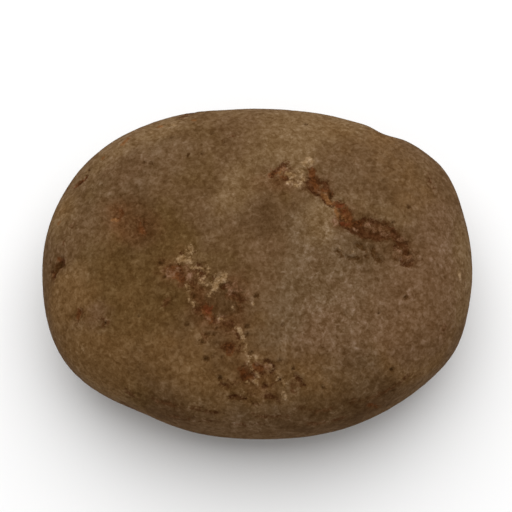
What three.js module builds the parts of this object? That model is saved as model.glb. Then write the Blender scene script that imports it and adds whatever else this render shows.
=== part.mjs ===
// A river pebble: one solid stone, tumbled to a slightly squared oval.
// Seen from above it is longer left to right (X) than front to back (Y). It lies flat, crown up,
// on a small worn patch at z = 0, and the origin is under the middle of its outline.
// Lengths are in millimetres, angles in degrees, and +Z is up.

import * as THREE from "three";
import { mergeVertices } from "three/addons/utils/BufferGeometryUtils.js";

// Driving dimensions of the whole stone.
const LENGTH = 80;
const WIDTH = 63;
const THICKNESS = 30;

// The waist is the widest level. The crown is above it and the belly below.
const WAIST_HEIGHT = 13;
const CROWN_RISE = THICKNESS - WAIST_HEIGHT;
// The belly would reach this much below the floor, had it not worn a patch to rest on.
const PATCH_WEAR = 0.9;
const BELLY_DROP = WAIST_HEIGHT + PATCH_WEAR;

// Exponents of the rounded sections: 2 is an ellipse, and larger is squarer.
const PLAN_SQUARENESS = 2.3;
const CROWN_SQUARENESS = 2.7;
const BELLY_SQUARENESS = 2.35;

// Where the outline swells out of the squared oval, or falls in. Azimuth runs from +X towards +Y.
const OUTLINE_SWELLS = [
  { azimuth: 30, spread: 12, height: 1.1 },
  { azimuth: 47, spread: 2.5, height: -0.25 },
  { azimuth: 64, spread: 11, height: -0.3 },
  { azimuth: 102, spread: 8, height: -0.25 },
  { azimuth: 160, spread: 14, height: -0.35 },
  { azimuth: 208, spread: 10, height: 0.35 },
  { azimuth: 231, spread: 13, height: -1.1 },
  { azimuth: 288, spread: 16, height: 0.35 },
  { azimuth: 315, spread: 14, height: -0.7 },
  { azimuth: 349, spread: 8, height: -0.25 },
];

// Broad, almost flat faces that the river has worn on the stone. Each normal points out of it.
const WORN_FACES = [
  { normal: [0.16, -0.1, 0.98], depth: 0.3 },
  { normal: [-0.62, 0.3, 0.72], depth: 0.3 },
  { normal: [0.6, -0.3, -0.74], depth: 0.5 },
  { normal: [-0.45, -0.5, -0.74], depth: 0.6 },
  { normal: [-0.2, 0.7, -0.68], depth: 0.5 },
];
// How far outside a face the stone begins to bend over to it.
const FACE_EDGE = 1.3;

// Two old cracks cross the crown, weathered to shallow troughs. Each runs through points in plan.
const TROUGHS = [
  { depth: 0.45, halfWidth: 2.3, run: [[1, 14], [8, 13.5], [12, 10], [16, 5], [24, 2], [27, -4]] },
  { depth: 0.4, halfWidth: 2.6, run: [[-14, -1], [-9, -8], [-4, -15], [1, -23], [5, -25]] },
];
// Steps that a trough's curve takes from one of its points to the next.
const TROUGH_STEPS = 4;

// Low swells and hollows all over: how high they are, and how far apart along each axis.
const SWELL_HEIGHT = 0.16;
const SWELL_SPACING = new THREE.Vector3(31, 27, 19);
const SWELL_START = new THREE.Vector3(0.7, 2.1, 1.2);

// How many facets the form is divided into along each axis.
const FACETS_X = 40;
const FACETS_Y = 31;
const FACETS_Z = 15;

const STONE_COLOUR = 0x6b5238;
const STONE_ROUGHNESS = 0.85;

// Distance from the stone's axis to the waist at an azimuth in radians.
function outlineReach(azimuth) {
  const acrossX = Math.abs(Math.cos(azimuth) / (LENGTH / 2)) ** PLAN_SQUARENESS;
  const acrossY = Math.abs(Math.sin(azimuth) / (WIDTH / 2)) ** PLAN_SQUARENESS;
  let reach = (acrossX + acrossY) ** (-1 / PLAN_SQUARENESS);
  for (const swell of OUTLINE_SWELLS) {
    const turned = THREE.MathUtils.radToDeg(azimuth) - swell.azimuth;
    const away = THREE.MathUtils.euclideanModulo(turned + 180, 360) - 180;
    reach += swell.height * Math.exp(-((away / swell.spread) ** 2));
  }
  return reach;
}

// A unit direction becomes a point of the rounded form, measured from the middle of the waist.
function roundedForm(direction) {
  const azimuth = Math.atan2(direction.y * WIDTH, direction.x * LENGTH);
  const sideways = Math.hypot(direction.x, direction.y);
  const upright = Math.abs(direction.z);
  const squareness = direction.z > 0 ? CROWN_SQUARENESS : BELLY_SQUARENESS;
  const fullness = (sideways ** squareness + upright ** squareness) ** (-1 / squareness);
  const reach = outlineReach(azimuth) * sideways * fullness;
  const rise = (direction.z > 0 ? CROWN_RISE : BELLY_DROP) * direction.z * fullness;
  return new THREE.Vector3(reach * Math.cos(azimuth), reach * Math.sin(azimuth), rise);
}

// Moves every vertex to what shape() gives for it.
function reshape(geometry, shape) {
  const position = geometry.attributes.position;
  for (let i = 0; i < position.count; i++) {
    const moved = shape(new THREE.Vector3().fromBufferAttribute(position, i));
    position.setXYZ(i, moved.x, moved.y, moved.z);
  }
}

// A cube's faces, divided evenly, give even facets and no pole once they are blown up to a ball.
function evenBall() {
  const cube = new THREE.BoxGeometry(2, 2, 2, FACETS_X, FACETS_Y, FACETS_Z);
  cube.deleteAttribute("normal");
  cube.deleteAttribute("uv");
  const ball = mergeVertices(cube);
  const spread = (across) => Math.tan((across * Math.PI) / 4);
  reshape(ball, (p) => p.set(spread(p.x), spread(p.y), spread(p.z)).normalize());
  return ball;
}

// How far the stone reaches along a unit direction.
function reachAlong(geometry, direction) {
  const position = geometry.attributes.position;
  let farthest = 0;
  for (let i = 0; i < position.count; i++) {
    const point = new THREE.Vector3().fromBufferAttribute(position, i);
    farthest = Math.max(farthest, point.dot(direction));
  }
  return farthest;
}

// Rubs one broad face on the stone, bending over to it without an edge.
function wearFace(geometry, face) {
  const normal = new THREE.Vector3(...face.normal).normalize();
  const farthest = reachAlong(geometry, normal);
  reshape(geometry, (point) => {
    const proud = Math.max(0, point.dot(normal) - farthest + face.depth + FACE_EDGE);
    return point.addScaledVector(normal, (-proud * proud) / (proud + FACE_EDGE));
  });
}

// Raises or lowers a point a little, as low waves that run along all three axes.
function undulate(point) {
  const outwards = point.clone().normalize();
  const turns = point.clone().divide(SWELL_SPACING).multiplyScalar(2 * Math.PI).add(SWELL_START);
  const lengthways = Math.sin(turns.x) * Math.cos(turns.y);
  const upwards = Math.sin(turns.y + turns.z) * Math.cos(turns.x);
  return point.addScaledVector(outwards, SWELL_HEIGHT * (lengthways + upwards));
}

// Sinks the crown along one trough.
function sinkTrough(geometry, trough) {
  const corners = trough.run.map(([x, y]) => new THREE.Vector3(x, y, 0));
  const course = new THREE.CatmullRomCurve3(corners).getPoints(TROUGH_STEPS * corners.length);
  reshape(geometry, (point) => {
    if (point.z < 0) return point;
    const away = Math.min(...course.map((mark) => Math.hypot(mark.x - point.x, mark.y - point.y)));
    return point.setZ(point.z - trough.depth * Math.exp(-((away / trough.halfWidth) ** 2)));
  });
}

// Brings the stone to its driving dimensions, centred over the origin, with the worn patch at z = 0.
function settle(geometry) {
  geometry.computeBoundingBox();
  const size = geometry.boundingBox.getSize(new THREE.Vector3());
  const middle = geometry.boundingBox.getCenter(new THREE.Vector3());
  geometry.translate(-middle.x, -middle.y, -geometry.boundingBox.min.z);
  geometry.scale(LENGTH / size.x, WIDTH / size.y, (THICKNESS + PATCH_WEAR) / size.z);
  reshape(geometry, (point) => point.setZ(Math.max(point.z - PATCH_WEAR, 0)));
}

function makePebble() {
  const geometry = evenBall();
  reshape(geometry, roundedForm);
  for (const face of WORN_FACES) wearFace(geometry, face);
  reshape(geometry, undulate);
  for (const trough of TROUGHS) sinkTrough(geometry, trough);
  settle(geometry);
  geometry.computeVertexNormals();
  const stone = new THREE.MeshStandardMaterial({ color: STONE_COLOUR, metalness: 0 });
  stone.roughness = STONE_ROUGHNESS;
  const pebble = new THREE.Mesh(geometry, stone);
  pebble.name = "pebble";
  return pebble;
}

const part = new THREE.Group();
part.add(makePebble());

export default part;
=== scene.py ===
# %% [markdown]
# # A river pebble
# One brown sandstone pebble, tumbled smooth, with two rusty veins across its crown.
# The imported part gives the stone's true size and broad form. This lesson wraps a fine skin on
# that form, roughens and scars the skin as weather and water did, and then colours it.

# %% Load the part
import math
import bmesh
import bpy
import numpy as np
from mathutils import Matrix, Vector
from mathutils.bvhtree import BVHTree


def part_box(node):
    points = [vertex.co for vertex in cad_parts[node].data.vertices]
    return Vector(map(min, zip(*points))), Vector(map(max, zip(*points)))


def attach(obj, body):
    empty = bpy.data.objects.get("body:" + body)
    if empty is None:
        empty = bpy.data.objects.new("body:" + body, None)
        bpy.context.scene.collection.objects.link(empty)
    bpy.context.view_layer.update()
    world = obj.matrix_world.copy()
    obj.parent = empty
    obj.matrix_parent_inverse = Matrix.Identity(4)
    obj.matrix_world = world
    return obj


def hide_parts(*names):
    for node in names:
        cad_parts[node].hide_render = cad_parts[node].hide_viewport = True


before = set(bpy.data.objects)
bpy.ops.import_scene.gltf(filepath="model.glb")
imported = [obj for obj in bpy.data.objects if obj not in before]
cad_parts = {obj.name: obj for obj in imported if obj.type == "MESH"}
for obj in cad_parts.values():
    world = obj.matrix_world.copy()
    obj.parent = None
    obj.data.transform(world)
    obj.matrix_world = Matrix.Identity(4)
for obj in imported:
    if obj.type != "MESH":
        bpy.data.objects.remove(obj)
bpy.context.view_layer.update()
MM = 0.001
low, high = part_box("pebble")
SIZE = high - low
print("the stone measures", [round(side / MM, 1) for side in SIZE], "mm")

# %% [markdown]
# ## The camera
# The stone was photographed from above and a little in front, so that its front side shows only
# as a narrow shaded band. A short lens close by would swell its crown, and a very long one far
# away would flatten it. A long portrait lens lies between, and the distance then follows from
# how large the stone looks in the frame.

# %% Place the camera
CAMERA_ELEVATION = math.radians(70)
CAMERA_DISTANCE = 320 * MM
CAMERA_LENS = 120
CAMERA_CLIP = 10 * MM
AIM = Vector((-0.24, 3.35, 13)) * MM


def place_camera():
    toward_camera = Vector((0, -math.cos(CAMERA_ELEVATION), math.sin(CAMERA_ELEVATION)))
    camera = bpy.data.objects.new("camera", bpy.data.cameras.new("camera"))
    camera.data.lens = CAMERA_LENS
    camera.data.clip_start = CAMERA_CLIP
    camera.location = AIM + toward_camera * CAMERA_DISTANCE
    camera.rotation_euler = (math.pi / 2 - CAMERA_ELEVATION, 0, 0)
    bpy.context.collection.objects.link(camera)
    bpy.context.scene.camera = camera
    return camera


camera = place_camera()
print("the camera looks down at", round(math.degrees(CAMERA_ELEVATION)), "degrees")

# %% [markdown]
# ## Floor and light
# A pale, plain floor and soft light show a matt stone best, because a hard lamp would drown its
# fine grain in highlights. One large lamp hangs high behind the stone, so its far rim is the
# brightest part and its near side falls into shade, and an even sky keeps that shade open.

# %% Lay the floor and hang the lamp
FLOOR_SIDE = 3.0
FLOOR_COLOUR = (0.87, 0.87, 0.87, 1)
FLOOR_ROUGHNESS = 0.9
LAMP = {"place": (0.01, 0.29, 0.68), "side": 1.0, "watts": 6.5}
SKY_COLOUR = (1, 1, 1, 1)
SKY_STRENGTH = 0.52


def lay_floor():
    bpy.ops.mesh.primitive_plane_add(size=FLOOR_SIDE)
    floor = bpy.context.object
    floor.name = "floor"
    paint = bpy.data.materials.new("floor_paint")
    paint.use_nodes = True
    shader = paint.node_tree.nodes["Principled BSDF"]
    shader.inputs["Base Color"].default_value = FLOOR_COLOUR
    shader.inputs["Roughness"].default_value = FLOOR_ROUGHNESS
    floor.data.materials.append(paint)


def hang_lamp(place, side, watts):
    lamp = bpy.data.objects.new("lamp", bpy.data.lights.new("lamp", "AREA"))
    lamp.data.size = side
    lamp.data.energy = watts
    lamp.location = place
    lamp.rotation_euler = (AIM - Vector(place)).to_track_quat("-Z", "Y").to_euler()
    bpy.context.collection.objects.link(lamp)


def light_the_sky():
    world = bpy.data.worlds.new("studio")
    world.use_nodes = True
    world.node_tree.nodes["Background"].inputs["Color"].default_value = SKY_COLOUR
    world.node_tree.nodes["Background"].inputs["Strength"].default_value = SKY_STRENGTH
    bpy.context.scene.world = world
    bpy.context.scene.view_settings.view_transform = "Standard"


lay_floor()
hang_lamp(**LAMP)
light_the_sky()
print("the lamp gives", LAMP["watts"], "W and the sky", SKY_STRENGTH)

# %% [markdown]
# ## Helpers for node trees
# Every tree below is built in code. One helper adds a node and fills its sockets: a value that
# is itself a socket is linked, and anything else is typed in. The others make sums readable,
# open a tree with named inputs, close it with its material and with every instance made real,
# and run it on an object to get a plain mesh back.

# %% Node helpers
FLOAT = "NodeSocketFloat"
VECTOR = "NodeSocketVector"
GEOMETRY = "NodeSocketGeometry"


def fill(tree, socket, value):
    if isinstance(value, bpy.types.NodeSocket):
        tree.links.new(value, socket)
    else:
        socket.default_value = value


def add_node(tree, kind, sockets=None, **settings):
    made = tree.nodes.new(kind)
    for name, value in settings.items():
        setattr(made, name, value)
    for key, value in (sockets or {}).items():
        fill(tree, made.inputs[key], value)
    return made


def calc(tree, operation, *terms):
    return add_node(tree, "ShaderNodeMath", dict(enumerate(terms)), operation=operation).outputs[0]


def vector_calc(tree, operation, *terms, **named):
    sockets = {**dict(enumerate(terms)), **named}
    return add_node(tree, "ShaderNodeVectorMath", sockets, operation=operation).outputs[0]


def steps(tree, value, start, end, least=0.0, most=1.0):
    sockets = {"Value": value, "From Min": start, "From Max": end, "To Min": least, "To Max": most}
    made = add_node(tree, "ShaderNodeMapRange", sockets, interpolation_type="SMOOTHSTEP")
    return made.outputs["Result"]


def new_tree(name, kind, takes, gives):
    tree = bpy.data.node_groups.new(name, kind)
    for label, socket in takes.items():
        tree.interface.new_socket(label, in_out="INPUT", socket_type=socket)
    for label, socket in gives.items():
        tree.interface.new_socket(label, in_out="OUTPUT", socket_type=socket)
    return tree, tree.nodes.new("NodeGroupInput").outputs, tree.nodes.new("NodeGroupOutput").inputs


def close_tree(tree, geometry, material, result):
    painted = add_node(tree, "GeometryNodeSetMaterial", {"Geometry": geometry, "Material": material})
    real = add_node(tree, "GeometryNodeRealizeInstances", {"Geometry": painted.outputs[0]})
    tree.links.new(real.outputs[0], result)


def run_tree(tree, obj, values):
    modifier = obj.modifiers.new(tree.name, "NODES")
    modifier.node_group = tree
    for socket in tree.interface.items_tree:
        if socket.in_out == "INPUT" and socket.name in values:
            modifier[socket.identifier] = values[socket.name]
    evaluated = obj.evaluated_get(bpy.context.evaluated_depsgraph_get())
    mesh = bpy.data.meshes.new_from_object(evaluated)
    obj.modifiers.remove(modifier)
    return mesh


print("helpers: fill, add_node, calc, vector_calc, steps, new_tree, close_tree, run_tree")

# %% [markdown]
# ## The broad form
# The part's mesh is right in size but faceted. Its loose triangles are merged and paired into
# squares, because subdivision rounds squares far more evenly than triangles. The result is only
# a former, as a cobbler's last is: the skin is wrapped on it, and then it is thrown away.

# %% Round the part's facets
MERGE_WITHIN = 0.01 * MM
ROUNDINGS = 2


def rounded_form(node):
    former = bpy.data.objects.new("former", node.data.copy())
    bpy.context.collection.objects.link(former)
    shape = bmesh.new()
    shape.from_mesh(former.data)
    bmesh.ops.remove_doubles(shape, verts=shape.verts, dist=MERGE_WITHIN)
    bmesh.ops.join_triangles(
        shape, faces=shape.faces, angle_face_threshold=math.pi, angle_shape_threshold=math.pi
    )
    shape.to_mesh(former.data)
    shape.free()
    rounding = former.modifiers.new("rounding", "SUBSURF")
    rounding.levels = ROUNDINGS
    rounding.render_levels = ROUNDINGS
    return former


former = rounded_form(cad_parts["pebble"])
print("the former has", len(former.data.polygons), "faces before rounding")

# %% [markdown]
# ## The fine skin
# A skin for fine relief needs small, even faces everywhere. A ball of rings and slices would
# crowd them at its poles, and a voxel remesh would lay them in visible steps. A cube divided into
# even squares and blown out to the stone has neither fault. Geometry Nodes send a ray from the
# middle of the stone through each corner of the squares, and move it to where the ray meets
# the former. A tangent turns the cube's even steps into even angles, or else its edges would
# get much smaller squares than the middles of its sides.

# %% Wrap the skin on the former
SQUARES = {"Squares X": 184, "Squares Y": 144, "Squares Z": 68}
MIDDLE = Vector((0, 0, 13)) * MM
CUBE_SIDE = 2.0
EDGE_ANGLE = math.pi / 4
RAY_LENGTH = 1.0

stone = bpy.data.materials.new("river_stone")


def skin_tree():
    takes = {"Former": "NodeSocketObject", "Half Size": VECTOR, "Middle": VECTOR}
    takes.update({name: "NodeSocketInt" for name in SQUARES})
    tree, given, result = new_tree("wrapped_skin", "GeometryNodeTree", takes, {"Skin": GEOMETRY})
    corners = {f"Vertices {name[-1]}": calc(tree, "ADD", given[name], 1.0) for name in SQUARES}
    cube = add_node(tree, "GeometryNodeMeshCube", {"Size": (CUBE_SIDE,) * 3, **corners})
    place = add_node(tree, "GeometryNodeInputPosition").outputs[0]
    even = vector_calc(tree, "TANGENT", vector_calc(tree, "SCALE", place, Scale=EDGE_ANGLE))
    target = add_node(tree, "GeometryNodeObjectInfo", {"Object": given["Former"]})
    sight = {
        "Target Geometry": target.outputs["Geometry"],
        "Source Position": given["Middle"],
        "Ray Direction": vector_calc(tree, "MULTIPLY", even, given["Half Size"]),
        "Ray Length": RAY_LENGTH,
    }
    ray = add_node(tree, "GeometryNodeRaycast", sight)
    placed = {"Geometry": cube.outputs["Mesh"], "Position": ray.outputs["Hit Position"]}
    moved = add_node(tree, "GeometryNodeSetPosition", placed)
    close_tree(tree, moved.outputs[0], stone, result["Skin"])
    return tree


carrier = bpy.data.objects.new("skin_carrier", bpy.data.meshes.new("empty_skin"))
bpy.context.collection.objects.link(carrier)
wrapping = {"Former": former, "Half Size": SIZE / 2, "Middle": MIDDLE, **SQUARES}
skin = run_tree(skin_tree(), carrier, wrapping)
bpy.data.objects.remove(carrier)
bpy.data.objects.remove(former)
corners = np.empty(len(skin.vertices) * 3)
skin.vertices.foreach_get("co", corners)
corners = corners.reshape(-1, 3) / MM
print("the skin has", len(skin.polygons), "squares")

# %% [markdown]
# ## A map for the skin
# A picture that is baked from the material needs a flat map. Cut at its waist, a pebble falls
# into two caps, and each cap opens like an umbrella: a point keeps its bearing and moves out by
# its distance from the axis plus its drop from the pole. That never folds, and the only seam
# runs where it shows least. An automatic unwrap would cut this rough stone into many scraps.

# %% Open the two caps flat
MAP_SIDE = 182.0  # millimetres of stone across the whole map
MAP_MIDDLE = 0.5
CROWN_ROW = 0.75  # how far up the map the middle of each cap lies
BELLY_ROW = 0.25
TINY = 1e-6  # keeps a division away from zero


def open_caps(skin):
    faces = np.empty(len(skin.loops), np.int32)
    skin.loops.foreach_get("vertex_index", faces)
    heights = corners[faces, 2].reshape(-1, 4).mean(1)
    on_crown = np.repeat(heights > MIDDLE.z / MM, 4)
    across = corners[faces, :2]
    away = np.maximum(np.hypot(across[:, 0], across[:, 1]), TINY)
    drop = np.where(on_crown, SIZE.z / MM - corners[faces, 2], corners[faces, 2])
    opened = across * ((away + np.maximum(drop, 0)) / away)[:, None] / MAP_SIDE
    opened[:, 0] += MAP_MIDDLE
    opened[:, 1] += np.where(on_crown, CROWN_ROW, BELLY_ROW)
    skin.uv_layers.new(name="OFBake").uv.foreach_set("vector", opened.astype(np.float32).ravel())
    return opened


opened = open_caps(skin)
print("the map runs from", opened.min(0).round(3), "to", opened.max(0).round(3))

# %% [markdown]
# ## Finding places on the stone
# The veins, crusts and stains of this one stone aren't random. They are drawn where the
# photograph shows them, in its own pixels, and a ray from the camera through each pixel finds the
# place on the skin. Marks on the side that nobody saw are placed by their bearing and height
# angle from the middle of the stone instead.

# %% Find a place by pixel or by bearing
PHOTO_SIDE = 512
PIXEL = 0.188  # millimetres of stone to one pixel of the photograph
WORN = 0.06  # millimetres that a stroke's ragged edge will take off it
surface = BVHTree.FromPolygons([v.co for v in skin.vertices], [p.vertices for p in skin.polygons])


def seen_at(x, y):
    focal = camera.data.lens / camera.data.sensor_width * PHOTO_SIDE
    ray = camera.rotation_euler.to_matrix() @ Vector((x - PHOTO_SIDE / 2, PHOTO_SIDE / 2 - y, -focal))
    hit = surface.ray_cast(camera.location, ray)[0]
    if hit is None:
        raise ValueError(f"no stone at pixel {x}, {y}")
    return hit / MM


def hidden_at(bearing, rise):
    turn, lift = math.radians(bearing), math.radians(rise)
    ray = Vector((math.cos(turn) * math.cos(lift), math.sin(turn) * math.cos(lift), math.sin(lift)))
    return surface.ray_cast(MIDDLE, ray)[0] / MM


print("the middle of the photograph shows", [round(side, 1) for side in seen_at(256, 256)])

# %% [markdown]
# ## Drawing the scars, stains first
# A stroke is a row of points, each with half the stroke's width there, and a single point is a
# dot. A painted picture could hold the scars too, but strokes stay crisp at any zoom and can be
# moved one by one. Photographed strokes are in pixels, as across, down and half width. Stains
# come first: the soft brown halos where water drew iron out of the cracks.

# %% Stains
SEEN = {}
SEEN["stain"] = [
    [(281, 166, 2.0), (286, 164, 2.2)], [(277, 181, 2.0), (281, 187, 1.5)],
    [(291, 169, 1.0), (294, 171, 1.2)],
    [(311, 170, 2.0), (313, 178, 3.6), (313, 186, 4.6), (319, 192, 3.2), (326, 190, 2.6)],
    [(343, 208, 3.0), (348, 214, 4.6), (350, 222, 4.0)],
    [(352, 223, 3.0), (362, 228, 6.0), (374, 230, 8.0), (384, 234, 5.0)],
    [(384, 224, 2.5), (392, 230, 4.0), (400, 242, 5.0), (405, 250, 4.0), (404, 258, 2.5), (410, 264, 3.0)],
    [(373, 249, 2.0), (374, 255, 2.2), (378, 259, 2.0)], [(366, 251, 1.2)], [(397, 256, 1.6)],
    [(413, 255, 1.4)], [(419, 257, 1.6)],
    [(167, 270, 2.5), (173, 268, 3.0), (180, 270, 4.0), (183, 278, 3.5), (181, 284, 2.0)],
    [(190, 273, 3.0), (198, 272, 4.0), (204, 277, 3.0)],
    [(188, 284, 1.5), (194, 282, 3.0), (197, 287, 2.0)],
    [(201, 290, 2.5), (200, 298, 4.0), (202, 304, 3.0)],
    [(229, 295, 3.0), (236, 296, 5.0), (243, 298, 3.5), (238, 302, 2.5)],
    [(240, 304, 1.5), (242, 312, 1.5)],
    [(198, 309, 3.0), (206, 311, 4.5), (211, 318, 4.0), (222, 323, 2.5), (232, 326, 3.5), (238, 336, 2.0)],
    [(222, 347, 2.5), (229, 348, 5.0), (237, 347, 3.4)], [(204, 337, 2.5)],
    [(246, 366, 3.0), (244, 376, 4.5), (252, 376, 2.5)], [(255, 366, 3.0), (261, 370, 3.5)],
    [(265, 387, 2.6)], [(272, 384, 1.6)], [(222, 384, 1.4), (228, 387, 2.0), (234, 384, 1.2)],
    [(230, 396, 1.1), (238, 396, 1.3), (245, 398, 1.2)],
    [(264, 396, 1.4), (274, 397, 1.5), (279, 400, 1.6)], [(251, 394, 1.6)],
    [(253, 402, 1.6), (257, 403, 1.3)], [(293, 384, 2.0), (297, 384, 2.0)], [(293, 391, 1.8)],
    [(60, 258, 1.5), (62, 263, 3.2), (56, 268, 2.5), (53, 274, 3.0), (54, 278, 2.0)],
    [(50, 264, 1.5)], [(72, 226, 2.0)], [(64, 242, 2.2)], [(118, 212, 2.0), (119, 222, 1.5)],
    [(127, 222, 1.5), (127, 227, 1.5)], [(140, 222, 4.0), (143, 230, 5.0), (136, 235, 3.0)],
    [(80, 311, 2.6), (79, 316, 1.5), (78, 321, 1.8)], [(103, 320, 1.5), (107, 323, 1.6)],
    [(104, 327, 1.6)], [(167, 299, 2.0), (164, 305, 1.5)], [(162, 262, 2.5)],
    [(74, 187, 1.2), (78, 184, 1.2), (82, 181, 1.2), (86, 177, 1.6)],
    [(405, 297, 1.6), (409, 295, 1.8)], [(428, 175, 2.0), (432, 186, 2.5)], [(445, 328, 3.0)],
    [(232, 135, 2.0)], [(192, 408, 1.2), (200, 409, 1.0)], [(200, 421, 1.0), (220, 421, 1.0)],
    [(205, 412, 2.0), (220, 414, 1.5)], [(150, 398, 1.2), (164, 404, 1.4), (176, 406, 1.0)],
    [(128, 392, 1.4), (140, 399, 1.0)], [(170, 416, 1.4), (188, 419, 1.2)],
    [(228, 424, 1.2), (246, 425, 1.4), (262, 424, 0.8)],
    [(254, 415, 1.0), (270, 417, 1.4), (286, 416, 1.0)],
    [(300, 408, 1.0), (318, 411, 1.4), (332, 409, 1.0)],
    [(308, 424, 1.2), (330, 421, 1.6), (346, 417, 1.0)],
    [(352, 402, 1.0), (366, 400, 1.2), (380, 394, 0.8)],
    [(385, 392, 1.2), (398, 384, 1.4), (408, 376, 1.0)],
]
print("stains:", len(SEEN["stain"]))

# %% [markdown]
# ## Rust and fresh iron
# Rust fills the old cracks. Ember is where it has dried to a crumbling orange, and scarlet is
# the freshest iron, in spots a millimetre or two across. A noise could scatter such spots, but
# here they sit at known places, so each one is drawn.

# %% Rust, ember and scarlet
SEEN["rust"] = [
    [(270, 176, 1.6), (275, 172, 2.4), (280, 168, 2.4), (284, 166, 1.8)],
    [(284, 171, 1.4), (285, 178, 1.5)], [(281, 178, 1.0)],
    [(310, 169, 1.2), (313, 173, 2.2), (313, 181, 4.0), (315, 187, 4.5)],
    [(320, 189, 2.4), (326, 190, 2.6), (330, 194, 2.4)],
    [(322, 195, 2.0), (326, 199, 2.5), (331, 203, 2.5), (336, 204, 2.6)],
    [(336, 205, 2.0), (340, 205, 2.0)], [(343, 209, 2.5), (347, 215, 4.5), (349, 220, 2.5)],
    [(347, 225, 2.5), (356, 224, 3.0), (360, 224, 2.5)],
    [(118, 209, 1.5), (122, 214, 1.5), (117, 221, 1.1)], [(140, 224, 1.8), (143, 232, 2.4)],
    [(168, 268, 1.6), (176, 267, 1.6), (181, 268, 1.6)],
    [(205, 308, 4.0), (208, 314, 3.4), (212, 320, 2.4)], [(212, 320, 1.8)],
    [(255, 367, 2.4), (260, 369, 2.8)], [(226, 345, 2.0), (230, 348, 3.6), (229, 352, 2.4)],
    [(243, 370, 2.6), (245, 376, 3.4), (251, 376, 2.0)],
    [(58, 260, 1.6), (62, 264, 2.6), (57, 268, 2.2), (54, 275, 2.2)],
    [(79, 312, 2.2), (78, 318, 1.4)], [(75, 187, 1.3), (80, 183, 1.1), (86, 177, 1.4)],
    [(172, 270, 2.6), (178, 275, 3.4), (182, 280, 2.4)], [(370, 405, 2.0), (378, 407, 1.5)],
]
SEEN["ember"] = [
    [(279, 173, 1.4), (283, 169, 1.1), (285, 167, 0.8)],
    [(322, 193, 1.2), (325, 197, 2.0), (328, 201, 2.2), (332, 203, 1.6)],
    [(335, 208, 0.9), (337, 213, 1.1), (338, 218, 0.9)],
    [(342, 217, 0.9), (346, 219, 1.0), (347, 222, 0.7)], [(113, 220, 1.5), (117, 219, 1.2)],
    [(59, 223, 2.0)], [(103, 158, 2.0)], [(128, 138, 2.2), (123, 144, 2.0)], [(194, 120, 2.0)],
    [(160, 126, 2.4)],
]
SEEN["scarlet"] = [
    [(337, 206, 0.9), (341, 205, 1.3), (343, 204, 0.7)], [(344, 210, 1.2), (345, 213, 1.0)],
    [(342, 223, 1.5), (346, 224, 2.0), (350, 223, 1.3)],
    [(205, 307, 1.9), (208, 311, 2.2), (211, 308, 1.2)],
]
print("rust, ember and scarlet:", [len(SEEN[name]) for name in ("rust", "ember", "scarlet")])

# %% [markdown]
# ## Bare sand
# Inside the scars, patches of clean pinkish grains show where the rust has flaked off. Gaps in
# the rust would only show the brown stone below, which is too dull for that, so the bare sand
# has strokes of its own, which are laid on over the rust.

# %% Bare sand
SEEN["sand"] = [
    [(365, 225, 0.8), (369, 224, 0.8)], [(370, 230, 1.3), (373, 229, 1.8), (377, 231, 1.4)],
    [(379, 230, 2.0), (383, 226, 1.5)], [(382, 232, 1.6), (387, 235, 1.0)],
    [(396, 249, 1.2), (400, 252, 1.0)], [(399, 256, 0.9), (402, 257, 0.7)],
    [(407, 258, 1.3), (410, 257, 0.8)], [(398, 240, 0.7), (401, 239, 0.8)],
    [(354, 228, 0.6), (357, 230, 0.5)], [(335, 221, 2.4), (337, 225, 1.5)],
    [(279, 170, 0.8), (283, 168, 1.1), (287, 172, 1.2)], [(280, 175, 0.8)], [(288, 183, 1.8)],
    [(317, 189, 1.3), (319, 191, 1.5)],
    [(169, 270, 0.9), (173, 272, 1.1), (177, 270, 1.2), (180, 268, 0.9)],
    [(168, 276, 0.8), (173, 275, 0.9)], [(184, 266, 1.2), (188, 269, 1.0)],
    [(188, 277, 0.8), (191, 275, 0.6)], [(198, 279, 1.2), (203, 280, 1.0)],
    [(227, 286, 1.2), (231, 290, 1.7), (229, 293, 0.9)], [(235, 285, 2.6), (239, 290, 2.4)],
    [(218, 321, 1.0), (222, 317, 1.1), (224, 321, 0.9)], [(206, 316, 0.7), (209, 319, 0.8)],
    [(264, 366, 0.8), (268, 369, 1.3), (270, 366, 0.9)], [(256, 363, 0.9), (258, 366, 0.7)],
    [(251, 372, 1.0), (255, 375, 1.2)],
]
print("patches of bare sand:", len(SEEN["sand"]))

# %% [markdown]
# ## Veins
# A vein is the hard, dark, crisp edge of a filled crack, and the deepest mark on the stone.
# The same strokes will both colour the skin and sink it. Drawing them once for both keeps the
# colour and the relief in step, which two separate drawings never quite do.

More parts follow.
